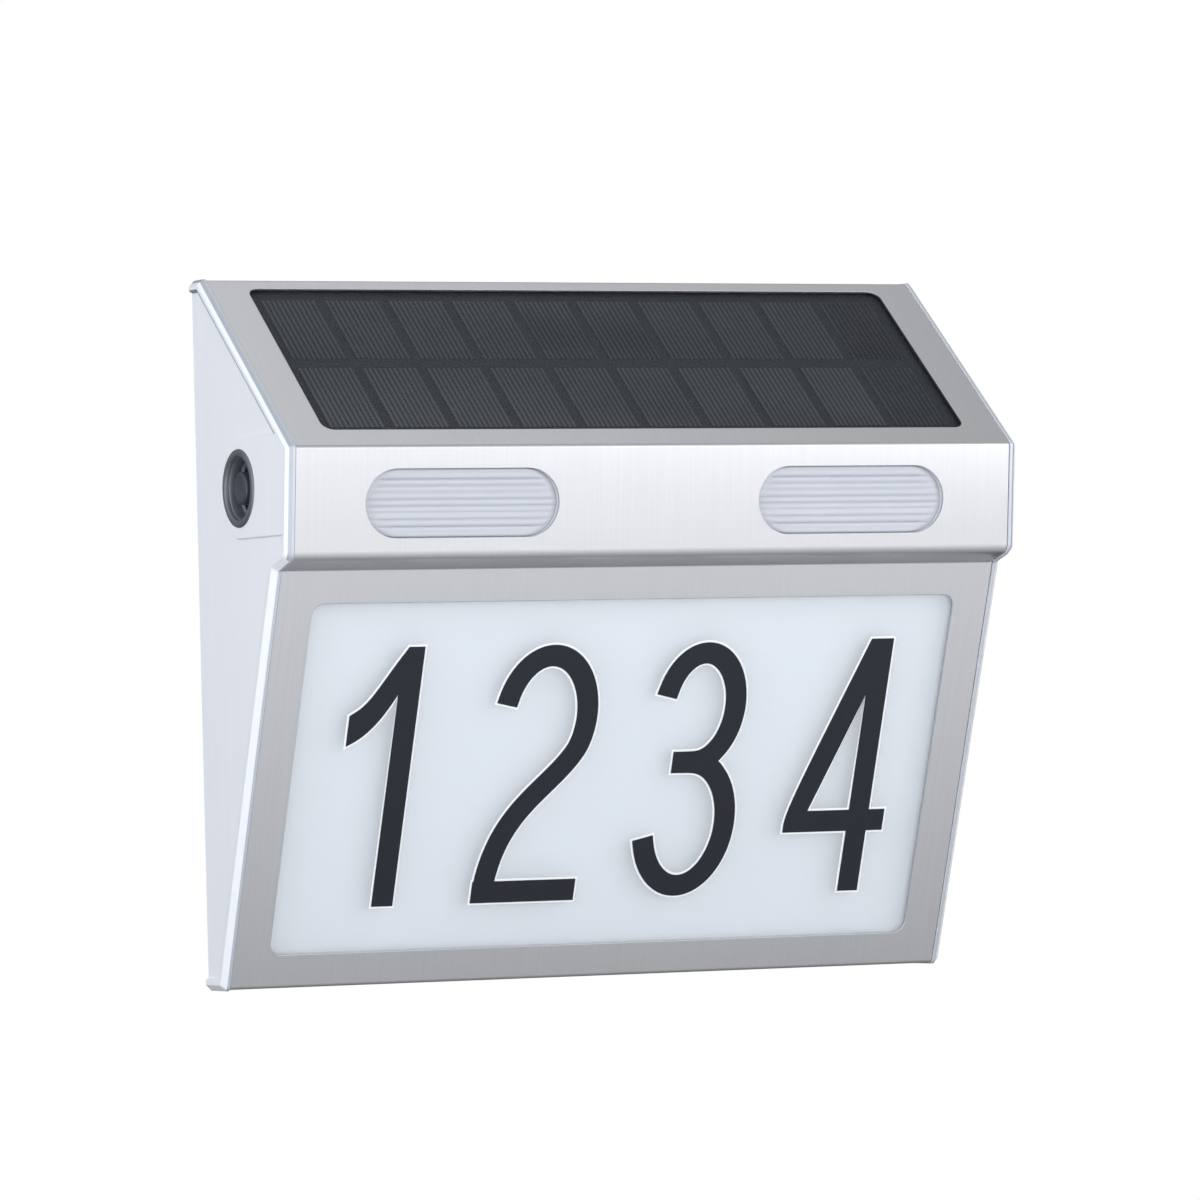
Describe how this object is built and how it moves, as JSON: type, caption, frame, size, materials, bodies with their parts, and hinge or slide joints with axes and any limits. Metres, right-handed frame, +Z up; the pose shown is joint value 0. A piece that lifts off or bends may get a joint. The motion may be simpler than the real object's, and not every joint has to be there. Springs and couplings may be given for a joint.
{
  "type": "illuminated house number sign",
  "caption": "Wall-hung solar house number lamp: bent steel face, lit number window, two ribbed lamps and a push switch.",
  "frame": {"origin": "on the wall plane, midway between the two wall screws when they are seated in the keyhole slots", "axes": "+Z up along the wall, -Y out of the wall towards the viewer, +X to the viewer's right"},
  "size_m": [0.2052, 0.0602, 0.1796],
  "materials": {
    "moulded_white": "satin moulded plastic",
    "brushed_steel": "fine vertical brush",
    "panel_glaze": "clear, glossy",
    "silicon_cells": "glossy, with fine contact lines",
    "green_board": "solder mask",
    "white_board": "white solder mask",
    "foam": "closed-cell foam",
    "clear_lens": "clear, ribbed",
    "clear_plate": "clear, glossy",
    "opal_diffuser": "opal",
    "white_reflector": "smooth white",
    "led_phosphor": "yellow phosphor in a white case",
    "digit_vinyl": "matt vinyl film",
    "switch_metal": "anodised",
    "cap_metal": "dark anodised",
    "white_plastic": "moulded",
    "spring_steel": "bright wire",
    "zinc_screw": "zinc plated",
    "seal_rubber": "matt",
    "black_plastic": "moulded",
    "tinned_brass": "tinned",
    "ferrite": "matt",
    "can_sleeve": "shrunk sleeve",
    "socket_nylon": "nylon",
    "battery_wrap": "shrunk film",
    "lead_sleeve": "sleeved wire"
  },
  "bodies": {
    "lamp": {"housing": "moulded_white", "cheek_left": "moulded_white", "cheek_right": "moulded_white", "face_sheet": "brushed_steel", "solar_glaze": "panel_glaze", "solar_cells": "silicon_cells", "solar_board": "green_board", "solar_pad": "foam", "lens_left": "clear_lens", "lens_right": "clear_lens", "reflector_left": "white_reflector", "reflector_right": "white_reflector", "lamp_board_left": "white_board", "lamp_board_right": "white_board", "lamp_chips": "led_phosphor", "lamp_screws": "zinc_screw", "window_plate": "clear_plate", "diffuser": "opal_diffuser", "light_tray": "white_reflector", "strip_board": "white_board", "strip_chips": "led_phosphor", "digit_1": "digit_vinyl", "digit_2": "digit_vinyl", "digit_3": "digit_vinyl", "digit_4": "digit_vinyl", "switch_bezel": "switch_metal", "switch_spring": "spring_steel", "switch_washer": "seal_rubber", "switch_nut": "switch_metal", "switch_body": "black_plastic", "switch_terminals": "tinned_brass", "back_cover": "moulded_white", "back_gasket": "seal_rubber", "cover_screws": "zinc_screw", "main_board": "green_board", "board_screws": "zinc_screw", "controller_chip": "black_plastic", "charge_coil": "ferrite", "capacitors": "can_sleeve", "board_sockets": "socket_nylon", "battery_cell": "battery_wrap", "battery_holder": "black_plastic", "battery_spring": "spring_steel", "battery_contact": "tinned_brass", "holder_screws": "zinc_screw", "panel_leads": "lead_sleeve", "lamp_leads_left": "lead_sleeve", "lamp_leads_right": "lead_sleeve", "strip_leads": "lead_sleeve", "battery_leads": "lead_sleeve", "switch_leads": "lead_sleeve"},
    "button": {"switch_cap": "cap_metal", "switch_plunger": "white_plastic"}
  },
  "joints": [
    {"name": "button_press", "type": "slide", "parent": "lamp", "child": "button", "axis": [1, 0, 0], "range_m": [0, 0.0015], "stiffness_N_per_m": 300, "springref_m": -0.001, "deforming": ["switch_spring"]}
  ]
}
